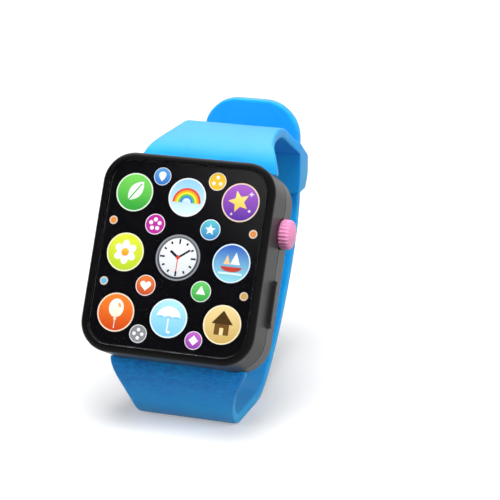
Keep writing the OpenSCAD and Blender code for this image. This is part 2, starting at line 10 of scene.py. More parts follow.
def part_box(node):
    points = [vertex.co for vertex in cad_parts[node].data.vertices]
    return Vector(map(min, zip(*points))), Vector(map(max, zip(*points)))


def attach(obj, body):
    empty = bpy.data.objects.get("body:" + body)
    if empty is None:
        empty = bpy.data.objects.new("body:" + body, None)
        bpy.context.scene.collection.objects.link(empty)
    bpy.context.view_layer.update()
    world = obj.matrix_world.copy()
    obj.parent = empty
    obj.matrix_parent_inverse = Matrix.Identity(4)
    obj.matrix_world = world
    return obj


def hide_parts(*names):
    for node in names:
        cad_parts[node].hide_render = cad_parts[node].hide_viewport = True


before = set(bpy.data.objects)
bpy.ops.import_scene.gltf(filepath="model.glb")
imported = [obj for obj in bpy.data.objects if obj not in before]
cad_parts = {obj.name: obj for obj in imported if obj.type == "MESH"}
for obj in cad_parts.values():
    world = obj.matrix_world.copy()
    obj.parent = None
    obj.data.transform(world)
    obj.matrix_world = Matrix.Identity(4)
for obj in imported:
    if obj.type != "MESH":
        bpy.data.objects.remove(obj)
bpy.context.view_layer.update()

# Front shell
# The front half of the case, moulded in one piece of black plastic with its rim, shelf and screw posts.
# The rim is satin black. The sides get a dark grey base colour, a painted reflection of the bright room they
# face.
MM = 0.001


def add_node(tree, kind, inputs, **settings):
    node = tree.nodes.new(kind)
    for name, value in settings.items():
        setattr(node, name, value)
    for name, value in inputs.items():
        if isinstance(value, bpy.types.NodeSocket):
            tree.links.new(value, node.inputs[name])
        else:
            node.inputs[name].default_value = value
    return node


def new_surface(name):
    material = bpy.data.materials.new(name)
    material.use_nodes = True
    return material, material.node_tree, material.node_tree.nodes["Principled BSDF"]


def grain(tree, size, stretch=(1, 1, 1), detail=3, wander=0.0):
    """Noise in the object's own space, with lumps of the given size in millimetres."""
    place = add_node(tree, "ShaderNodeTexCoord", {})
    space = add_node(tree, "ShaderNodeMapping", {"Vector": place.outputs["Object"], "Scale": stretch})
    noise = add_node(tree, "ShaderNodeTexNoise", {"Vector": space.outputs["Vector"],
        "Scale": 1 / (size * MM), "Detail": detail, "Distortion": wander})
    return noise.outputs["Fac"]


def shades(tree, factor, dark, light, low=0.35, high=0.65):
    """Colours from dark to light as the factor goes from low to high."""
    ramp = add_node(tree, "ShaderNodeValToRGB", {"Fac": factor})
    ramp.color_ramp.elements[0].position = low
    ramp.color_ramp.elements[0].color = (*dark, 1)
    ramp.color_ramp.elements[1].position = high
    ramp.color_ramp.elements[1].color = (*light, 1)
    return ramp.outputs["Color"]


def spread(tree, factor, low, high):
    """The noise's middle range, spread from low to high."""
    limits = {"Value": factor, "From Min": 0.3, "From Max": 0.7, "To Min": low, "To Max": high}
    return add_node(tree, "ShaderNodeMapRange", limits).outputs["Result"]


def relief(tree, height, depth, strength=1.0):
    """A bump of the given depth in millimetres."""
    return add_node(tree, "ShaderNodeBump",
        {"Height": height, "Distance": depth * MM, "Strength": strength}).outputs["Normal"]


def dress(material, *nodes):
    for node in nodes:
        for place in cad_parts[node].material_slots:
            place.material = material


CASE_LEAN = math.radians(27.4)
FACE_OUT = Vector((0, -math.cos(CASE_LEAN), math.sin(CASE_LEAN)))
# Painted reflection: the base colour fades from black on the front rim to grey on the sides, which face the
# bright room.
RIM_BLACK, SIDE_PAINTED_REFLECTION = (0.0040, 0.0040, 0.0044), (0.042, 0.041, 0.040)
RIM_FADE = -1.3 * MM, -0.6 * MM
rim_front = max(vert.co.dot(FACE_OUT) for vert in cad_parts["front_shell"].data.vertices)
case_black, tree, surface = new_surface("case_black")
place = add_node(tree, "ShaderNodeTexCoord", {}).outputs["Object"]
depth = add_node(tree, "ShaderNodeVectorMath", {0: place, 1: FACE_OUT}, operation="DOT_PRODUCT")
front = add_node(tree, "ShaderNodeMapRange", {"Value": depth.outputs["Value"],
    "From Min": rim_front + RIM_FADE[0], "From Max": rim_front + RIM_FADE[1]})
painted_side_tone = shades(tree, front.outputs["Result"], SIDE_PAINTED_REFLECTION, RIM_BLACK, 0.0, 1.0)
tree.links.new(painted_side_tone, surface.inputs["Base Color"])
pits = grain(tree, 0.12)
tree.links.new(spread(tree, pits, 0.30, 0.40), surface.inputs["Roughness"])
tree.links.new(relief(tree, pits, 0.004), surface.inputs["Normal"])
surface.inputs["Specular IOR Level"].default_value = 0.08
dress(case_black, "front_shell")

# Screen stack
# A foam tape frame sticks the printed card and the lens to the shelf, and an amber touch film
# with its tail lies behind the card.


def finish(name, dark, light, rough, pit, depth, patch=6.0, metal=0.0, shine=0.5):
    """A solid finish: colour in patches, roughness and relief from pits. Sizes are millimetres."""
    material, tree, surface = new_surface(name)
    pits = grain(tree, pit)
    tree.links.new(shades(tree, grain(tree, patch), dark, light), surface.inputs["Base Color"])
    tree.links.new(spread(tree, pits, *rough), surface.inputs["Roughness"])
    tree.links.new(relief(tree, pits, depth), surface.inputs["Normal"])
    surface.inputs["Metallic"].default_value = metal
    surface.inputs["Specular IOR Level"].default_value = shine
    return material


tape_grey = finish("tape_grey", (0.018, 0.018, 0.020), (0.028, 0.028, 0.030), (0.8, 0.95), 0.2, 0.02)
film_amber = finish("film_amber", (0.50, 0.20, 0.02), (0.62, 0.27, 0.04), (0.15, 0.25), 0.4, 0.002)
card_black = finish("card_black", (0.0014, 0.0014, 0.0024), (0.0022, 0.0022, 0.0034), (0.3, 0.4),
    0.15, 0.002, shine=0.05)
dress(tape_grey, "screen_tape")
dress(film_amber, "touch_sheet")
dress(card_black, "dial_card")

# Dial print
# Coloured discs with small pictures round a clock face, printed on the card in layers of ink.
# The layers are thin flat shapes, so each colour keeps a crisp edge.
LENS_DEPTH = 0.9
lens_mid = sum(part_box("screen_lens"), Vector()) / 2
in_case = (Matrix.Translation(lens_mid) @ Matrix.Rotation(math.pi / 2 - CASE_LEAN, 4, "X")
    @ Matrix.Scale(MM, 4) @ Matrix.Translation((0, 0, LENS_DEPTH)))
CARD_TOP = -1.4
INK_STEP = 0.012
ROUND = 40
WHITE = (0.90, 0.91, 0.92)
NIGHT = (0.010, 0.012, 0.030)
INK_GREY = (0.30, 0.31, 0.33)


def ink_mark(badge, layer, sides, size, colours, at=(0, 0), turn=0, half=False, star=None, form=None):
    """Prints one flat shape on a badge, a disc given by its middle and radius. Sizes are shares of it."""
    bm, ink, middle, radius = badge
    verts = bmesh.ops.create_circle(bm, cap_ends=True, segments=sides, radius=1)["verts"]
    for i, vert in enumerate(verts):
        if star and i % 2:
            vert.co *= star
        if form:
            vert.co.xy = form(math.tau * i / sides)
    if half:
        parts = {part for vert in verts for part in [vert, *vert.link_edges, *vert.link_faces]}
        cut = bmesh.ops.bisect_plane(bm, geom=list(parts), plane_co=(0, 0, 0), plane_no=(0, -1, 0),
            clear_outer=True)
        verts = [part for part in cut["geom"] if isinstance(part, bmesh.types.BMVert)]
    place = (Matrix.Translation((*middle, CARD_TOP + layer * INK_STEP)) @ Matrix.Scale(radius, 4)
        @ Matrix.Translation((*at, 0)) @ Matrix.Rotation(math.radians(turn), 4, "Z")
        @ Matrix.Diagonal((*size, 1, 1)))
    bmesh.ops.transform(bm, matrix=place, verts=verts)
    heights = [vert.co.y for vert in verts]
    low, tall = min(heights), max(heights) - min(heights)
    for vert in verts:
        share = (vert.co.y - low) / tall
        vert[ink] = (*Vector(colours[0]).lerp(Vector(colours[-1]), share), 1)


def ring_of(count, reach, start=0):
    turns = [start + 360 * i / count for i in range(count)]
    return [(turn, (reach * math.sin(math.radians(turn)), reach * math.cos(math.radians(turn))))
        for turn in turns]


def heart_line(turn):
    x = math.sin(turn) ** 3
    y = 0.81 * math.cos(turn) - 0.31 * math.cos(2 * turn) - 0.12 * math.cos(3 * turn)
    return x, y - 0.06 * math.cos(4 * turn)


def leaf_line(turn):
    return 0.55 * math.sin(turn) * abs(math.sin(turn)), math.cos(turn)


def drop_line(turn):
    return math.sin(turn) * math.sin(turn / 2), -math.cos(turn)


def bar_line(turn):
    return (1 if math.sin(turn + 0.5) > 0 else -1), (1 if math.cos(turn + 0.5) > 0 else -1)


def ground(badge, colours, rim):
    ink_mark(badge, 1, ROUND, (1, 1), [rim])
    ink_mark(badge, 2, ROUND, (0.93, 0.93), colours)


def print_clock(badge):
    ground(badge, [(0.03, 0.035, 0.05), (0.16, 0.17, 0.20)], INK_GREY)
    ink_mark(badge, 3, ROUND, (0.84, 0.84), [(0.70, 0.74, 0.76), WHITE])
    for i, (turn, at) in enumerate(ring_of(12, 0.70)):
        long = 0.11 if i % 3 == 0 else 0.06
        ink_mark(badge, 4, 4, (0.04, long), [NIGHT], at, -turn, form=bar_line)
    ink_mark(badge, 4, 4, (0.055, 0.24), [NIGHT], (-0.17, 0.12), 54, form=bar_line)
    ink_mark(badge, 4, 4, (0.045, 0.33), [NIGHT], (0.24, 0.17), -54, form=bar_line)
    ink_mark(badge, 5, 4, (0.02, 0.36), [(0.75, 0.05, 0.03)], (0.0, -0.24), 0, form=bar_line)
    ink_mark(badge, 6, ROUND, (0.08, 0.08), [(0.75, 0.05, 0.03)])


def print_leaf(badge):
    ground(badge, [(0.03, 0.36, 0.05), (0.22, 0.72, 0.12)], (0.75, 0.90, 0.72))
    ink_mark(badge, 3, ROUND, (0.62, 0.62), [(0.78, 0.92, 0.76), WHITE], (0.06, 0.08), -35, form=leaf_line)
    ink_mark(badge, 4, 4, (0.03, 0.62), [(0.05, 0.42, 0.07)], (-0.02, -0.04), -35, form=bar_line)


def print_rainbow(badge):
    ground(badge, [(0.72, 0.88, 0.93), (0.28, 0.62, 0.86)], WHITE)
    bands = [(0.80, 0.06, 0.04), (0.90, 0.42, 0.02), (0.90, 0.78, 0.05), (0.10, 0.55, 0.12),
        (0.05, 0.22, 0.75), (0.62, 0.83, 0.93)]
    for i, colour in enumerate(bands):
        wide = 0.76 - 0.105 * i
        ink_mark(badge, 3 + i, ROUND, (wide, wide), [colour], (0, -0.28), half=True)


def print_star(badge):
    ground(badge, [(0.10, 0.03, 0.36), (0.42, 0.12, 0.62)], (0.85, 0.68, 0.52))
    gold = [(0.95, 0.55, 0.06), (1.0, 0.86, 0.24)]
    ink_mark(badge, 3, 10, (0.58, 0.58), gold, (-0.08, 0.04), 18, star=0.45)
    for size, at in [(0.15, (0.52, 0.46)), (0.11, (0.52, -0.40)), (0.09, (-0.40, -0.62))]:
        ink_mark(badge, 3, 8, (size, size), [WHITE], at, star=0.35)


def print_flower(badge):
    ground(badge, [(0.48, 0.66, 0.03), (0.80, 0.84, 0.06)], (0.88, 0.90, 0.60))
    for turn, at in ring_of(6, 0.36):
        ink_mark(badge, 3, ROUND, (0.20, 0.27), [WHITE], at, -turn)
    ink_mark(badge, 4, ROUND, (0.20, 0.20), [(0.86, 0.30, 0.02), (0.95, 0.55, 0.05)])


def print_boat(badge):
    ground(badge, [(0.30, 0.72, 0.80), (0.03, 0.10, 0.52)], (0.70, 0.84, 0.95))
    ink_mark(badge, 3, 3, (0.30, 0.42), [WHITE], (0.20, 0.16), 0)
    ink_mark(badge, 3, 3, (0.20, 0.32), [(0.95, 0.62, 0.30)], (-0.24, 0.10), 0)
    ink_mark(badge, 4, ROUND, (0.56, 0.26), [(0.55, 0.06, 0.04)], (0.02, -0.18), 180, half=True)
    ink_mark(badge, 5, 4, (0.62, 0.05), [(0.75, 0.92, 0.95)], (0, -0.52), form=bar_line)


def print_balloon(badge):
    ground(badge, [(0.62, 0.06, 0.01), (0.92, 0.24, 0.03)], (0.95, 0.75, 0.60))
    ink_mark(badge, 3, 4, (0.02, 0.30), [WHITE], (0, -0.52), form=bar_line)
    ink_mark(badge, 4, ROUND, (0.40, 0.48), [(0.92, 0.80, 0.62), WHITE], (0, 0.22))
    ink_mark(badge, 4, 3, (0.11, 0.11), [(0.92, 0.80, 0.62)], (0, -0.32))
    ink_mark(badge, 5, ROUND, (0.07, 0.13), [(0.95, 0.45, 0.16)], (0.16, 0.38), 30)


def print_umbrella(badge):
    ground(badge, [(0.20, 0.58, 0.92), (0.45, 0.80, 0.97)], (0.82, 0.92, 0.98))
    ink_mark(badge, 3, 4, (0.035, 0.40), [WHITE], (0, -0.28), form=bar_line)
    ink_mark(badge, 3, ROUND, (0.12, 0.12), [WHITE], (0.085, -0.64), 180, half=True)
    ink_mark(badge, 4, ROUND, (0.64, 0.60), [WHITE], (0, 0.02), half=True)
    for x in (-0.43, 0, 0.43):
        ink_mark(badge, 5, ROUND, (0.215, 0.10), [(0.22, 0.60, 0.93)], (x, 0.015), half=True)


def print_house(badge):
    ground(badge, [(0.62, 0.42, 0.12), (0.88, 0.70, 0.34)], (0.93, 0.83, 0.58))
    wall, dark = (0.16, 0.08, 0.02), (0.07, 0.035, 0.01)
    ink_mark(badge, 3, 4, (0.38, 0.28), [wall], (0, -0.24), form=bar_line)
    ink_mark(badge, 3, 3, (0.66, 0.46), [dark], (0, 0.26))
    ink_mark(badge, 4, 4, (0.10, 0.18), [(0.90, 0.72, 0.36)], (0, -0.34), form=bar_line)


def print_dots(badge, colour, count):
    ground(badge, [colour], WHITE)
    for turn, at in ring_of(count, 0.45):
        ink_mark(badge, 3, ROUND, (0.2, 0.2), [WHITE], at)


def print_shape(badge, colours, sides, star=None, form=None):
    ground(badge, colours, WHITE)
    ink_mark(badge, 3, sides, (0.55, 0.55), [WHITE], star=star, form=form)


def print_dot(badge, colour):
    ink_mark(badge, 1, ROUND, (1, 1), [(0.75, 0.62, 0.50)])
    ink_mark(badge, 2, ROUND, (0.7, 0.7), [colour])


bm = bmesh.new()
ink = bm.verts.layers.float_color.new("ink")
CLOCK, BIG, MEDIUM, SMALL, TINY = 5.1, 4.3, 2.3, 2.0, 0.95
SIDE, RISE = 12.3, 13.4
print_clock((bm, ink, (0, 0), CLOCK))
for draw, share in [(print_leaf, (-1, 1)), (print_rainbow, (0, 1)), (print_star, (1, 1)),
        (print_flower, (-1, 0)), (print_boat, (1, 0)), (print_balloon, (-1, -1)),
        (print_umbrella, (0, -1)), (print_house, (1, -1))]:
    draw((bm, ink, (SIDE * share[0], RISE * share[1]), BIG))
INNER_SIDE, INNER_RISE = 6.4, 6.8
print_dots((bm, ink, (-INNER_SIDE, INNER_RISE), MEDIUM), (0.52, 0.03, 0.36), 5)
print_shape((bm, ink, (INNER_SIDE, INNER_RISE), MEDIUM), [(0.04, 0.22, 0.55), (0.12, 0.58, 0.66)], 10,
    star=0.45)
print_shape((bm, ink, (-INNER_SIDE, -INNER_RISE), MEDIUM), [(0.55, 0.08, 0.03), (0.85, 0.22, 0.05)], ROUND,
    form=heart_line)
print_shape((bm, ink, (INNER_SIDE, -INNER_RISE), MEDIUM), [(0.04, 0.38, 0.06), (0.16, 0.62, 0.16)], 3)
OUTER_RISE = 17.5
print_shape((bm, ink, (-INNER_SIDE, OUTER_RISE), SMALL), [(0.04, 0.18, 0.58), (0.10, 0.40, 0.80)], ROUND,
    form=drop_line)
print_dots((bm, ink, (INNER_SIDE, OUTER_RISE), SMALL), (0.86, 0.55, 0.03), 3)
print_dots((bm, ink, (-INNER_SIDE, -OUTER_RISE), SMALL), (0.25, 0.26, 0.28), 4)
print_shape((bm, ink, (INNER_SIDE, -OUTER_RISE), SMALL), [(0.30, 0.05, 0.42), (0.55, 0.14, 0.62)], 4)
TINY_SIDE = 16.2
for x, y, colour in [(-1, 1, (0.85, 0.30, 0.05)), (1, 1, (0.80, 0.28, 0.06)), (-1, -1, (0.14, 0.50, 0.75)),
        (1, -1, (0.65, 0.40, 0.10))]:
    print_dot((bm, ink, (x * TINY_SIDE, y * INNER_RISE), TINY), colour)
bm.transform(in_case)


def new_piece(bm, name, material, body, slot, *stood_for):
    mesh = bpy.data.meshes.new(name)
    bm.to_mesh(mesh)
    bm.free()
    piece = bpy.data.objects.new(name, mesh)
    bpy.context.scene.collection.objects.link(piece)
    mesh.materials.append(material)
    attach(piece, body)
    if stood_for:
        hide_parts(*stood_for)
    return piece


dial_ink, tree, surface = new_surface("dial_ink")
colour = add_node(tree, "ShaderNodeAttribute", {}, attribute_name="ink")
tree.links.new(colour.outputs["Color"], surface.inputs["Base Color"])
tree.links.new(spread(tree, grain(tree, 0.2), 0.28, 0.38), surface.inputs["Roughness"])
surface.inputs["Specular IOR Level"].default_value = 0.05
new_piece(bm, "dial_print", dial_ink, "watch", "dial_print")

# Screen lens
# A clear moulded plate with a small rounded edge, pressed into the rim until it lies on the card.
# Its underside keeps a hair of air above the ink.
LENS_W, LENS_H, LENS_R = 36.8, 41.4, 5.4
LENS_TOP, LENS_FOOT, LENS_EDGE = -0.4, -1.3, 0.3


def corner_plate(bm, width, height, radius, foot):
    """A flat face with four round corners."""
    corners = bmesh.ops.create_grid(bm, x_segments=1, y_segments=1, size=0.5)["verts"]
    bmesh.ops.scale(bm, vec=(width, height, 1), verts=corners)
    bmesh.ops.translate(bm, vec=(0, 0, foot), verts=corners)
    bmesh.ops.bevel(bm, geom=corners, offset=radius, offset_type="OFFSET", segments=12, profile=0.5,
        affect="VERTICES", material=-1)
    return bm.faces[:]


def pull(bm, faces, step):
    """Extrudes faces by a step and returns the moved faces. A lone sheet stays as the underside."""
    region = set(faces)
    lone = all(region.issuperset(edge.link_faces) for face in faces for edge in face.edges)
    made = bmesh.ops.extrude_face_region(bm, geom=faces)["geom"]
    bmesh.ops.translate(bm, vec=step, verts=[part for part in made if isinstance(part, bmesh.types.BMVert)])
    if not lone:
        bmesh.ops.delete(bm, geom=faces, context="FACES")
    return [part for part in made if isinstance(part, bmesh.types.BMFace)]


def round_edges(bm, edges, offset, segments):
    bmesh.ops.bevel(bm, geom=edges, offset=offset, offset_type="OFFSET", segments=segments, profile=0.5,
        affect="EDGES", loop_slide=True, material=-1)


def close_up(bm):
    bmesh.ops.recalc_face_normals(bm, faces=bm.faces[:])
    for face in bm.faces:
        face.smooth = True


def smooth_flats(piece):
    """Keeps flat faces flat in shading where rounded edges meet them."""
    piece.modifiers.new("flat_faces", "WEIGHTED_NORMAL")


bm = bmesh.new()
top = pull(bm, corner_plate(bm, LENS_W, LENS_H, LENS_R, LENS_FOOT), (0, 0, LENS_TOP - LENS_FOOT))
round_edges(bm, top[0].edges[:], LENS_EDGE, 3)
close_up(bm)
bm.transform(in_case)

lens_clear, tree, surface = new_surface("lens_clear")
surface.inputs["Base Color"].default_value = (1, 1, 1, 1)
surface.inputs["Transmission Weight"].default_value = 1
surface.inputs["IOR"].default_value = 1.49
haze = spread(tree, grain(tree, 3.0), 0.015, 0.04)
tree.links.new(haze, surface.inputs["Roughness"])
clear = add_node(tree, "ShaderNodeBsdfTransparent", {})
ray = add_node(tree, "ShaderNodeLightPath", {})
shadow_mix = add_node(tree, "ShaderNodeMixShader", {"Fac": ray.outputs["Is Shadow Ray"]})
tree.links.new(surface.outputs["BSDF"], shadow_mix.inputs[1])
tree.links.new(clear.outputs["BSDF"], shadow_mix.inputs[2])
tree.links.new(shadow_mix.outputs["Shader"], tree.nodes["Material Output"].inputs["Surface"])
smooth_flats(new_piece(bm, "lens", lens_clear, "watch", "lens_clear", "screen_lens"))

# Crown
# A pink push crown in soft satin plastic with fine grooves that run out on its domed end. Its foot
# lies in a recess of the wall, its stem goes through, and a flange inside stops it from falling out.
SHELL_JOINT = -9.2
CROWN_UP, CROWN_FROM, CROWN_TO, CROWN_R = 8.7, 20.0, 23.1, 3.3
STEM_R, FLANGE_R, FLANGE_FROM, FLANGE_TO = 1.6, 2.7, 17.6, 18.4
DOME_R, DOME_STEPS, CROWN_EDGE = 6.8, 8, 0.5
NEAR, WELD = 0.01, 0.001
SHARP_TURN = math.radians(50)
FLUTES, FLUTE_STEPS, FLUTE_DEPTH, FLUTE_END = 24, 8, 0.17, 1.5
dome_turn = math.asin(CROWN_R / DOME_R)
dome_turns = [dome_turn * (1 - i / DOME_STEPS) for i in range(DOME_STEPS + 1)]
profile = [(FLANGE_FROM, 0), (FLANGE_FROM, FLANGE_R), (FLANGE_TO, FLANGE_R), (FLANGE_TO, STEM_R),
    (CROWN_FROM, STEM_R), (CROWN_FROM, CROWN_R)]
profile += [(CROWN_TO - DOME_R * (1 - math.cos(turn)), DOME_R * math.sin(turn)) for turn in dome_turns]

bm = bmesh.new()
line = [bm.verts.new((x, 0, reach)) for x, reach in profile]
edges = [bm.edges.new(pair) for pair in zip(line, line[1:])]
bmesh.ops.spin(bm, geom=line + edges, cent=(0, 0, 0), axis=(1, 0, 0), angle=math.tau,
    steps=FLUTES * FLUTE_STEPS, use_merge=True)
bmesh.ops.remove_doubles(bm, verts=bm.verts[:], dist=WELD)


def reach_of(vert):
    return vert.co.yz.length


rims = [edge for edge in bm.edges if min(map(reach_of, edge.verts)) > CROWN_R - NEAR
    and abs(edge.verts[0].co.x - edge.verts[1].co.x) < NEAR]
round_edges(bm, rims, CROWN_EDGE, 4)
for vert in bm.verts:
    reach = reach_of(vert)
    if vert.co.x > CROWN_FROM - NEAR and reach > STEM_R + NEAR:
        turn = math.atan2(vert.co.y, vert.co.z)
        fade = (reach - FLUTE_END) / (CROWN_R - FLUTE_END)
        vert.co.yz *= 1 - fade * FLUTE_DEPTH * (0.5 - 0.5 * math.cos(FLUTES * turn)) / reach
close_up(bm)
bmesh.ops.translate(bm, vec=(0, CROWN_UP, SHELL_JOINT), verts=bm.verts[:])
bm.transform(in_case)
crown_pink = finish("crown_pink", (0.93, 0.30, 0.57), (0.95, 0.34, 0.61), (0.36, 0.46), 0.1, 0.004)
crown = new_piece(bm, "crown", crown_pink, "crown", "crown_pink", "crown_button")
crown.data.set_sharp_from_angle(angle=SHARP_TURN)

# Side button
# A long black bar with round ends that stands out of the case. A wider flange inside
# holds it in its slot in the wall.
KEY_UP, KEY_TO, KEY_L, KEY_W = -7, 21.0, 10.4, 2.6
KEY_RIM, KEY_EDGE = 1.1, 0.3

bm = bmesh.new()
ends = bmesh.ops.create_circle(bm, cap_ends=True, segments=30, radius=KEY_W / 2 + KEY_RIM)["verts"]
for vert in ends:
    vert.co.y += math.copysign((KEY_L - KEY_W) / 2, vert.co.y)
flange = pull(bm, bm.faces[:], (0, 0, FLANGE_TO - FLANGE_FROM))
bmesh.ops.inset_region(bm, faces=flange, thickness=KEY_RIM, use_even_offset=True)
bar = pull(bm, flange, (0, 0, KEY_TO - FLANGE_TO))
round_edges(bm, bar[0].edges[:], KEY_EDGE, 3)
close_up(bm)
bm.transform(in_case @ Matrix.Translation((FLANGE_FROM, KEY_UP, SHELL_JOINT))
    @ Matrix.Rotation(math.pi / 2, 4, "Y"))
button_black = finish("button_black", (0.0040, 0.0040, 0.0044), (0.0062, 0.0062, 0.0066), (0.36, 0.46),
    0.12, 0.004)
key = new_piece(bm, "side_key", button_black, "key", "button_black", "side_button")
key.data.set_sharp_from_angle(angle=SHARP_TURN)
smooth_flats(key)

# Board and its parts
# A green board behind the dial carries the resin-sealed sound chip, three lamps and two push switches
# with cream plungers. It is soldered and dropped onto its rests.
board_green = finish("board_green", (0.006, 0.070, 0.020), (0.010, 0.105, 0.032), (0.25, 0.38), 0.35, 0.01)
resin_black = finish("resin_black", (0.003, 0.003, 0.0032), (0.005, 0.005, 0.0055), (0.10, 0.2), 1.2, 0.02)
lamp_orange = finish("lamp_orange", (0.72, 0.10, 0.02), (0.85, 0.16, 0.03), (0.08, 0.14), 0.8, 0.004)
switch_grey = finish("switch_grey", (0.014, 0.014, 0.015), (0.020, 0.020, 0.022), (0.5, 0.62), 0.1, 0.006)
plunger_cream = finish("plunger_cream", (0.55, 0.47, 0.32), (0.62, 0.54, 0.38), (0.4, 0.5), 0.1, 0.004)
dress(board_green, "circuit_board")
dress(resin_black, "sound_chip")
dress(lamp_orange, "lamps")
dress(switch_grey, "crown_switch", "side_switch")
dress(plunger_cream, "crown_plunger", "side_plunger")

# Speaker
# A small round speaker: plated steel frame, magnet, pressed film cone and two red leads to the board.
# It snaps into the ring on the back cover.
speaker_steel = finish("speaker_steel", (0.38, 0.39, 0.41), (0.50, 0.51, 0.53), (0.26, 0.4),
    0.15, 0.004, metal=1.0)
magnet_steel = finish("magnet_steel", (0.20, 0.21, 0.22), (0.28, 0.29, 0.30), (0.2, 0.32),
    0.2, 0.003, metal=1.0)
cone_black = finish("cone_black", (0.010, 0.010, 0.012), (0.018, 0.018, 0.020), (0.55, 0.7), 0.15, 0.01)
lead_red = finish("lead_red", (0.42, 0.014, 0.010), (0.52, 0.022, 0.014), (0.3, 0.42), 0.2, 0.004)
dress(speaker_steel, "speaker_frame")
dress(magnet_steel, "speaker_magnet")
dress(cone_black, "speaker_cone")
dress(lead_red, "speaker_leads")

# Back cover and its screws
# The back half of the case has a fine spark texture. Four zinc plated screws in its corners
# pull it onto the front shell.
cover_black = finish("cover_black", (0.040, 0.039, 0.038), (0.048, 0.047, 0.046), (0.42, 0.54), 0.16, 0.012)
screw_steel = finish("screw_steel", (0.42, 0.43, 0.45), (0.55, 0.56, 0.58), (0.22, 0.36),
    0.12, 0.004, metal=1.0)
dress(cover_black, "back_cover")
dress(screw_steel, "case_screws", "door_screw")

# Cells, contacts and battery door
# Two bright button cells lie on brass contact plates in the well. The door carries the bridge
# between them and is held by a captive screw.
cell_can = finish("cell_can", (0.58, 0.59, 0.60), (0.68, 0.69, 0.70), (0.16, 0.3), 0.1, 0.002, metal=1.0)
contact_brass = finish("contact_brass", (0.62, 0.40, 0.12), (0.72, 0.50, 0.18), (0.22, 0.36),
    0.15, 0.004, metal=1.0)
dress(cell_can, "cell_left", "cell_right")
dress(contact_brass, "contact_left", "contact_right", "door_bridge")
dress(cover_black, "battery_door")

# Upper strap
# Soft blue rubber, moulded in one piece with its keeper. Its tongue goes through the upper wall of
# the case and a bead inside holds it. It narrows to the crest and flares again into the keeper.
STRAP_T, STRAP_HALF, ROOT_HALF = 2.3, 11.8, 16.5
STRAP_EDGE, BAND_EDGE = 0.45, 1.0
TONGUE_L, TONGUE_EDGE, BEAD_L, BEAD_SHARE = 1.6, 0.3, 1.8, 3.1 / 2.3
TONGUE_SHARE = 0.745
UP = Vector((0, math.sin(CASE_LEAN), math.cos(CASE_LEAN)))
BACK = Vector((0, 1, 0))
HIGH_ROOT = Vector((0, 6.82, 55.0))
CREST = Vector((0, 21.82, 60.0))
KEEPER_EDGE = Vector((0, 33.92, 52.2))
KEEPER_HALF, KEEPER_FOOT = 13.15, 42.4
KEEPER_ROWS = [36.22, 39.02, 40.62]
KEEPER_TAPER_SHARE, KEEPER_TAPER_RISE = 0.6, 3.2
SLOT_HALF = 12.05
SLOT_SHARE = SLOT_HALF / KEEPER_HALF
PEG_R, PEG_UP, PEG_FROM, PEG_TO, PEG_EDGE = 1.2, 47.3, 35.9, 38.77, 0.2
FLARE = 7.0
SLOPE = math.radians(36)
SLOPE_DIR = Vector((0, math.cos(SLOPE), -math.sin(SLOPE)))
SLOPE_UP = Vector((0, math.sin(SLOPE), math.cos(SLOPE)))
ROOT_GAP, NECK = 0.1, 1.2
ROOT_EDGE_SHARE, HUG_L = 0.25, 3.0
CASE_FLAT_HALF, CASE_R = 13.0, 7.0
ROW_STEP = 1.8
FACING = 0.9
BEND_STEPS = 120


def bend(start, start_dir, end, end_dir, shares):
    """A smooth bend of the strap; the shares of its chord say how strongly each end holds on."""
    chord = (end - start).length
    return interpolate_bezier(start, start + start_dir * shares[0] * chord,
        end - end_dir * shares[1] * chord, end, BEND_STEPS)


def follow(points):
    """Gives a finder of the point and the left side at a distance along a line, and the line's length."""
    marks = [0.0]
    for a, b in zip(points, points[1:]):
        marks.append(marks[-1] + (b - a).length)

    def at(distance):
        i = min(max(bisect.bisect_left(marks, distance), 1), len(marks) - 1)
        step = (points[i] - points[i - 1]).normalized()
        return points[i - 1] + step * (distance - marks[i - 1]), Vector((0, -step.z, step.y))

    return at, marks[-1]


def flat_strap(columns, rows, half_at):
    """A flat strap on the given rows, its columns as shares of the half width at each row."""
    bm = bmesh.new()
    made = bmesh.ops.create_grid(bm, x_segments=len(columns) - 1, y_segments=len(rows) - 1, size=0.5)
    for vert in made["verts"]:
        share = columns[round((vert.co.x + 0.5) * (len(columns) - 1))]
        row = rows[round((vert.co.y + 0.5) * (len(rows) - 1))]
        vert.co = (share * half_at(row), row, 0)
    return bm


def mirrored_shares(shares):
    return [-share for share in reversed(shares)] + [0] + shares


def even_rows(start, end, step):
    count = math.ceil((end - start) / step)
    return [start + (end - start) * i / count for i in range(count + 1)]


def faces_within(bm, low, high, half):
    """The faces whose middles lie between two rows and less than half a width from the middle line."""
    found = [(face, face.calc_center_median()) for face in bm.faces]
    return [face for face, middle in found if low < middle.y < high and abs(middle.x) < half]


def thicken(bm, edge):
    """Makes the flat strap a slab about its middle, with loops that hold its rounded edges."""
    bmesh.ops.inset_region(bm, faces=bm.faces[:], thickness=edge, use_boundary=True, use_even_offset=True)
    bmesh.ops.translate(bm, vec=(0, 0, -STRAP_T / 2), verts=bm.verts[:])
    top = bm.faces[:]
    for step in (edge, STRAP_T - 2 * edge, edge):
        top = pull(bm, top, (0, 0, step))
    for vert in bm.verts:
        if vert.co.y < edge + NEAR:
            vert.co.y *= ROOT_EDGE_SHARE
    bmesh.ops.recalc_face_normals(bm, faces=bm.faces[:])


def hug_case(x, distance):
    """Lets the strap's end follow the round corners of the case; gives the new distance from the root."""
    across = max(abs(x) - CASE_FLAT_HALF, 0)
    return distance - (CASE_R - math.sqrt(CASE_R ** 2 - across ** 2)) * max(1 - distance / HUG_L, 0)


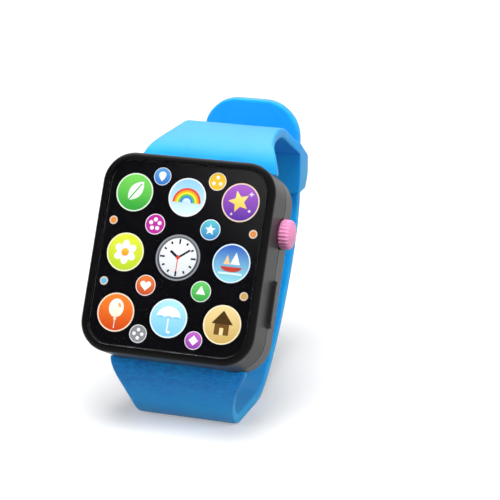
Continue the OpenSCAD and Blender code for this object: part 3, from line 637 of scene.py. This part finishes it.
def grow_tongue(bm, half):
    """Pulls the tongue and its bead out of the slab's first end."""
    end = [face for face in faces_within(bm, -ROOT_GAP, ROOT_GAP, half) if face.normal.y < -FACING]
    for step in (TONGUE_EDGE, TONGUE_L - 2 * TONGUE_EDGE, TONGUE_EDGE):
        end = pull(bm, end, (0, -step, 0))
    end = pull(bm, end, (0, 0, 0))
    for vert in {vert for face in end for vert in face.verts}:
        vert.co.z *= BEAD_SHARE
    for step in (TONGUE_EDGE, BEAD_L - 2 * TONGUE_EDGE, TONGUE_EDGE):
        end = pull(bm, end, (0, -step, 0))


def smooth_rubber(piece):
    """Rounds the strap between its loops, as a soft moulding is."""
    rounding = piece.modifiers.new("rounding", "SUBSURF")
    rounding.levels = 2
    rounding.render_levels = 2


def upper_half(distance):
    if distance > upper_l - ROOT_GAP:
        return KEEPER_HALF
    share = (upper_at(distance)[0].y - HIGH_ROOT.y) / (CREST.y - HIGH_ROOT.y)
    flare = max(0, 1 - (upper_l - distance) / FLARE)
    narrow = STRAP_HALF + (ROOT_HALF - STRAP_HALF) * (1 - min(max(share, 0), 1)) ** 2
    return narrow + (KEEPER_HALF - STRAP_HALF) * flare * flare * (3 - 2 * flare)


rise = bend(HIGH_ROOT + UP * (ROOT_GAP + NECK), UP, CREST, BACK, (0.2, 0.4))
fall = bend(CREST, BACK, KEEPER_EDGE + SLOPE_UP * STRAP_T / 2, SLOPE_DIR, (0.38, 0.41))
upper_at, upper_l = follow([HIGH_ROOT + UP * ROOT_GAP] + rise + fall[1:])
keeper_marks = [upper_l + y - KEEPER_EDGE.y for y in KEEPER_ROWS]
rows = even_rows(0, upper_l - STRAP_EDGE, ROW_STEP) + [upper_l, upper_l + STRAP_EDGE] + keeper_marks
bm = flat_strap(mirrored_shares([0.25, 0.5, TONGUE_SHARE, SLOT_SHARE, 1]), rows, upper_half)
slot = faces_within(bm, keeper_marks[0], keeper_marks[1], SLOT_SHARE * KEEPER_HALF)
bmesh.ops.delete(bm, geom=slot, context="FACES")
thicken(bm, STRAP_EDGE)
for vert in bm.verts:
    half = upper_half(vert.co.y)
    edge = STRAP_EDGE + (BAND_EDGE - STRAP_EDGE) * min(max((upper_l - vert.co.y) / FLARE, 0), 1)
    if STRAP_EDGE / 2 < half - abs(vert.co.x) < STRAP_EDGE * 3 / 2:
        vert.co.x = math.copysign(half - edge, vert.co.x)
    if abs(vert.co.z) < STRAP_T / 2 - NEAR:
        vert.co.z = math.copysign(STRAP_T / 2 - edge, vert.co.z)
grow_tongue(bm, TONGUE_SHARE * ROOT_HALF)
keeper_rings = [KEEPER_FOOT + height for height in (KEEPER_TAPER_RISE, STRAP_EDGE, 0)]
under = faces_within(bm, upper_l, keeper_marks[-1], KEEPER_HALF)
base = [face for face in under if face.normal.z < -FACING]
for ring in range(1 + len(keeper_rings)):
    base = pull(bm, base, (0, 0, -1))

slope_rise = STRAP_T / math.cos(SLOPE)
for vert in bm.verts:
    x, distance, level = vert.co
    if distance > upper_l - ROOT_GAP:
        y = KEEPER_EDGE.y + distance - upper_l
        top = KEEPER_EDGE.z + slope_rise - (y - KEEPER_EDGE.y) * math.tan(SLOPE)
        ring = round(-STRAP_T / 2 - level)
        if ring < 1:
            z = top + slope_rise * (level / STRAP_T - 0.5)
        elif ring == 1:
            z = top - slope_rise - STRAP_EDGE
        else:
            z = keeper_rings[ring - 2]
        if ring > 2:
            x = math.copysign(min(abs(x), SLOT_HALF) + max(abs(x) - SLOT_HALF, 0) * KEEPER_TAPER_SHARE, x)
            y = min(y, KEEPER_ROWS[1]) + max(y - KEEPER_ROWS[1], 0) * KEEPER_TAPER_SHARE
        vert.co = (x, y, z)
    else:
        point, side = upper_at(hug_case(x, distance))
        vert.co = Vector((x, 0, 0)) + point + side * level
peg = bmesh.ops.create_cone(bm, cap_ends=True, segments=24, radius1=PEG_R, radius2=PEG_R,
    depth=PEG_TO - PEG_FROM)
bmesh.ops.transform(bm, matrix=Matrix.Translation((0, (PEG_FROM + PEG_TO) / 2, PEG_UP))
    @ Matrix.Rotation(-math.pi / 2, 4, "X"), verts=peg["verts"])
peg_ends = {face for vert in peg["verts"] for face in vert.link_faces if len(face.verts) > 4}
round_edges(bm, list({edge for face in peg_ends for edge in face.edges}), PEG_EDGE, 2)
close_up(bm)
bmesh.ops.scale(bm, vec=(MM, MM, MM), verts=bm.verts[:])

strap_blue, tree, surface = new_surface("strap_blue")
# The third blue is painted shade. It darkens the strap's front in its wrinkles just under the case's lower
# wall, where the case shades it.
BLUE_DARK, BLUE_LIGHT, BLUE_PAINTED_SHADE = (0.0125, 0.40, 0.96), (0.0155, 0.435, 0.98), (0.004, 0.11, 0.44)
CREASE_SHADE_Z = 5 * MM, 12 * MM
CREASE_SHADE_Y = -4 * MM, -9 * MM
place = add_node(tree, "ShaderNodeTexCoord", {})
spot = add_node(tree, "ShaderNodeSeparateXYZ", {"Vector": place.outputs["Object"]})
# The zone on the strap's front under the case's lower wall. It sets the depth of the real crease bump and
# also where painted shade darkens the blue.
near_case = add_node(tree, "ShaderNodeMapRange",
    {"Value": spot.outputs["Z"], "From Min": CREASE_SHADE_Z[0], "From Max": CREASE_SHADE_Z[1]})
on_front = add_node(tree, "ShaderNodeMapRange",
    {"Value": spot.outputs["Y"], "From Min": CREASE_SHADE_Y[0], "From Max": CREASE_SHADE_Y[1]})
crease_and_shade_zone = add_node(tree, "ShaderNodeMath",
    {0: near_case.outputs["Result"], 1: on_front.outputs["Result"]}, operation="MULTIPLY")
wrinkle = grain(tree, 0.55, (0.4, 1, 1), 2, 0.9)
# Painted shade: within that zone, the wrinkle pattern decides where the deeper blue is mixed in.
painted_crease_shade = add_node(tree, "ShaderNodeMath",
    {0: crease_and_shade_zone.outputs["Value"], 1: spread(tree, wrinkle, 0.75, 0.30)}, operation="MULTIPLY")
plain = shades(tree, grain(tree, 9.0, detail=2), BLUE_DARK, BLUE_LIGHT)
blend = add_node(tree, "ShaderNodeMix", {"Factor": painted_crease_shade.outputs["Value"]}, data_type="RGBA")
tree.links.new(plain, blend.inputs[6])
blend.inputs[7].default_value = (*BLUE_PAINTED_SHADE, 1)
tree.links.new(blend.outputs[2], surface.inputs["Base Color"])
fine = grain(tree, 0.25)
tree.links.new(spread(tree, fine, 0.46, 0.56), surface.inputs["Roughness"])
creases = relief(tree, wrinkle, 0.22, crease_and_shade_zone.outputs["Value"])
skin = add_node(tree, "ShaderNodeBump", {"Height": fine, "Distance": 0.006 * MM, "Normal": creases})
tree.links.new(skin.outputs["Normal"], surface.inputs["Normal"])
surface.inputs["Specular IOR Level"].default_value = 0.3
surface.inputs["Sheen Weight"].default_value = 0.06
surface.inputs["Sheen Roughness"].default_value = 0.5
surface.inputs["Subsurface Weight"].default_value = 0.5
surface.inputs["Subsurface Radius"].default_value = (0.1, 0.45, 1.0)
surface.inputs["Subsurface Scale"].default_value = 2.5 * MM
upper = new_piece(bm, "upper_strap_band", strap_blue, "watch", "strap_blue", "upper_strap")
smooth_rubber(upper)

# Lower strap
# The same rubber, finely creased where it leaves the lower wall of the case; painted shade darkens
# its blue there, under the case. It lies flat where the watch stands and comes up behind through the
# keeper, with a row of punched holes and a rounded tail.
LOW_ROOT = Vector((0, -13.7, 15.4))
FLAT_HALF = 6.5
TAIL_Y, TAIL_TOP, TAIL_R, TAIL_LAST = 37.62, 63.8, 8.5, 1.9
HOLE_R, HOLE_PITCH, HOLE_COUNT = 1.45, 7, 5
flat_start = Vector((0, -FLAT_HALF, STRAP_T / 2))
flat_end = Vector((0, FLAT_HALF, STRAP_T / 2))
in_keeper = Vector((0, TAIL_Y, KEEPER_FOOT))
tail_end = Vector((0, TAIL_Y, TAIL_TOP))
front_bend = bend(LOW_ROOT - UP * (ROOT_GAP + NECK), -UP, flat_start, BACK, (0.14, 0.25))
far_bend = bend(flat_end, BACK, in_keeper, Vector((0, 0, 1)), (0.17, 0.28))
lower_at, lower_l = follow([LOW_ROOT - UP * ROOT_GAP] + front_bend + far_bend + [tail_end])
first_hole = lower_l - (TAIL_TOP - PEG_UP)
holes = [first_hole - HOLE_PITCH * i for i in range(HOLE_COUNT)]
hole_shares = [HOLE_R / STRAP_HALF * share for share in (0.5, 1)]
rows = [0]
for hole in reversed(holes):
    rows += even_rows(rows[-1], hole - HOLE_R, ROW_STEP)[1:]
    rows += [hole + HOLE_R * share for share in (-0.5, 0, 0.5, 1)]
rows += even_rows(rows[-1], lower_l - TAIL_LAST, ROW_STEP / 2)[1:] + [lower_l]


def lower_half(distance):
    point = lower_at(distance)[0]
    climb = (point.z - STRAP_T / 2) / (LOW_ROOT.z - STRAP_T / 2) if point.y < 0 else 0
    return STRAP_HALF + (ROOT_HALF - STRAP_HALF) * min(max(climb, 0), 1) ** 2


band_shares = [0.21, 0.3, 0.39, 0.48, 0.57, 0.66, TONGUE_SHARE, 0.84, 1]
bm = flat_strap(mirrored_shares(hole_shares + band_shares), rows, lower_half)
for hole in holes:
    inside = faces_within(bm, hole - HOLE_R, hole + HOLE_R, HOLE_R)
    ring = {vert for face in inside for vert in face.verts}
    bmesh.ops.delete(bm, geom=inside, context="FACES")
    for vert in ring:
        if vert.is_valid:
            arm = Vector((vert.co.x, vert.co.y - hole)).normalized() * HOLE_R
            vert.co.xy = arm.x, arm.y + hole
for vert in bm.verts:
    across = (abs(vert.co.x) - STRAP_HALF + TAIL_R) / TAIL_R
    along = (vert.co.y - lower_l + TAIL_R) / TAIL_R
    if across > 0 and along > 0:
        across, along = across * math.sqrt(1 - along ** 2 / 2), along * math.sqrt(1 - across ** 2 / 2)
        vert.co.x = math.copysign(STRAP_HALF - TAIL_R + TAIL_R * across, vert.co.x)
        vert.co.y = lower_l - TAIL_R + TAIL_R * along
thicken(bm, BAND_EDGE)
grow_tongue(bm, TONGUE_SHARE * ROOT_HALF)
for vert in bm.verts:
    point, side = lower_at(hug_case(vert.co.x, vert.co.y))
    vert.co = Vector((vert.co.x, 0, 0)) + point + side * vert.co.z
close_up(bm)
bmesh.ops.scale(bm, vec=(MM, MM, MM), verts=bm.verts[:])
lower = new_piece(bm, "lower_strap_band", strap_blue, "watch", "strap_blue", "lower_strap")
smooth_rubber(lower)

# Studio
# A plain white floor in a white room. A soft lamp overhead and two weaker ones at the sides light the watch,
# and a fourth only shows in glossy surfaces. The room is dim in front, where the screen mirrors it.
FLOOR_HALF = 6.0
bm = bmesh.new()
bmesh.ops.create_grid(bm, x_segments=8, y_segments=8, size=FLOOR_HALF)
mesh = bpy.data.meshes.new("floor")
bm.to_mesh(mesh)
bm.free()
floor = bpy.data.objects.new("floor", mesh)
bpy.context.scene.collection.objects.link(floor)


def seen_directly(tree):
    """1 for rays that look at a surface, straight or by reflection or through glass."""
    ray = add_node(tree, "ShaderNodeLightPath", {})
    shiny = add_node(tree, "ShaderNodeMath",
        {0: ray.outputs["Is Camera Ray"], 1: ray.outputs["Is Glossy Ray"]}, operation="MAXIMUM")
    looking = add_node(tree, "ShaderNodeMath",
        {0: shiny.outputs["Value"], 1: ray.outputs["Is Transmission Ray"]}, operation="MAXIMUM")
    return looking.outputs["Value"]


floor_white, tree, surface = new_surface("floor_white")
FLOOR_SEEN, FLOOR_BOUNCE, FLOOR_GLOW = (0.75, 0.75, 0.75), (0.24, 0.24, 0.24), 0.30
seen = seen_directly(tree)
tree.links.new(shades(tree, seen, FLOOR_BOUNCE, FLOOR_SEEN, 0.0, 1.0), surface.inputs["Base Color"])
surface.inputs["Roughness"].default_value = 0.9
surface.inputs["Specular IOR Level"].default_value = 0.0
surface.inputs["Emission Color"].default_value = (1, 1, 1, 1)
glow = add_node(tree, "ShaderNodeMath", {0: seen, 1: FLOOR_GLOW}, operation="MULTIPLY")
tree.links.new(glow.outputs["Value"], surface.inputs["Emission Strength"])
mesh.materials.append(floor_white)

world = bpy.data.worlds.new("room")
world.use_nodes = True
bpy.context.scene.world = world
tree = world.node_tree
room = tree.nodes["Background"]
room.inputs["Color"].default_value = (1, 1, 1, 1)
room.inputs["Strength"].default_value = 0.10
look = add_node(tree, "ShaderNodeTexCoord", {}).outputs["Generated"]
BRIGHT_SIDE = (0.60, 0.30, 0.74)
towards_it = add_node(tree, "ShaderNodeVectorMath", {0: look, 1: BRIGHT_SIDE}, operation="DOT_PRODUCT")
reflected = add_node(tree, "ShaderNodeMapRange", {"Value": towards_it.outputs["Value"], "From Min": -0.02,
    "From Max": 0.07, "To Min": 0.02, "To Max": 0.85}, interpolation_type="SMOOTHSTEP")
ray = add_node(tree, "ShaderNodeLightPath", {})
backdrop = add_node(tree, "ShaderNodeMix", {"Factor": ray.outputs["Is Camera Ray"]}, data_type="RGBA")
tree.links.new(reflected.outputs["Result"], backdrop.inputs[6])
backdrop.inputs[7].default_value = (1, 1, 1, 1)
shown = add_node(tree, "ShaderNodeBackground", {"Color": backdrop.outputs[2], "Strength": 1.0})
both = add_node(tree, "ShaderNodeMixShader", {"Fac": seen_directly(tree)})
tree.links.new(room.outputs["Background"], both.inputs[1])
tree.links.new(shown.outputs["Background"], both.inputs[2])
tree.links.new(both.outputs["Shader"], tree.nodes["World Output"].inputs["Surface"])


def hang_sun(name, strength, softness, towards, mirrored=False):
    """A wide lamp. It lights surfaces or, if mirrored, only shows in glossy ones and in glass."""
    lamp = bpy.data.lights.new(name, "SUN")
    lamp.energy = strength
    lamp.angle = math.radians(softness)
    sun = bpy.data.objects.new(name, lamp)
    sun.rotation_euler = Vector(towards).to_track_quat("-Z", "Y").to_euler()
    sun.visible_diffuse = not mirrored
    sun.visible_glossy = mirrored
    sun.visible_transmission = mirrored
    bpy.context.scene.collection.objects.link(sun)


hang_sun("top", 2.5, 30, (-0.05, 0.32, -0.95))
hang_sun("left", 1.3, 50, (0.55, 0.76, -0.34))
hang_sun("right", 1.6, 40, (-0.84, 0.25, -0.48))
hang_sun("back", 3.0, 60, (0.30, -0.46, -0.84), mirrored=True)

# Camera
# The photograph's own view: from the front, a little to the right and above.
CAMERA_TURN, CAMERA_RISE, CAMERA_FAR = math.radians(18.70), math.radians(18.40), 420
CAMERA_TARGET = Vector((14.98, -8.58, 42.14))
CAMERA_LENS, CAMERA_SENSOR, CAMERA_CLIP = 139.64, 36, 10
away = Vector((math.sin(CAMERA_TURN) * math.cos(CAMERA_RISE), -math.cos(CAMERA_TURN) * math.cos(CAMERA_RISE),
    math.sin(CAMERA_RISE)))
optics = bpy.data.cameras.new("camera")
optics.lens = CAMERA_LENS
optics.sensor_width = CAMERA_SENSOR
optics.clip_start = CAMERA_CLIP * MM
camera = bpy.data.objects.new("camera", optics)
camera.location = (CAMERA_TARGET + away * CAMERA_FAR) * MM
camera.rotation_euler = (-away).to_track_quat("-Z", "Y").to_euler()
bpy.context.scene.collection.objects.link(camera)
bpy.context.scene.camera = camera
bpy.context.scene.view_settings.view_transform = "Standard"
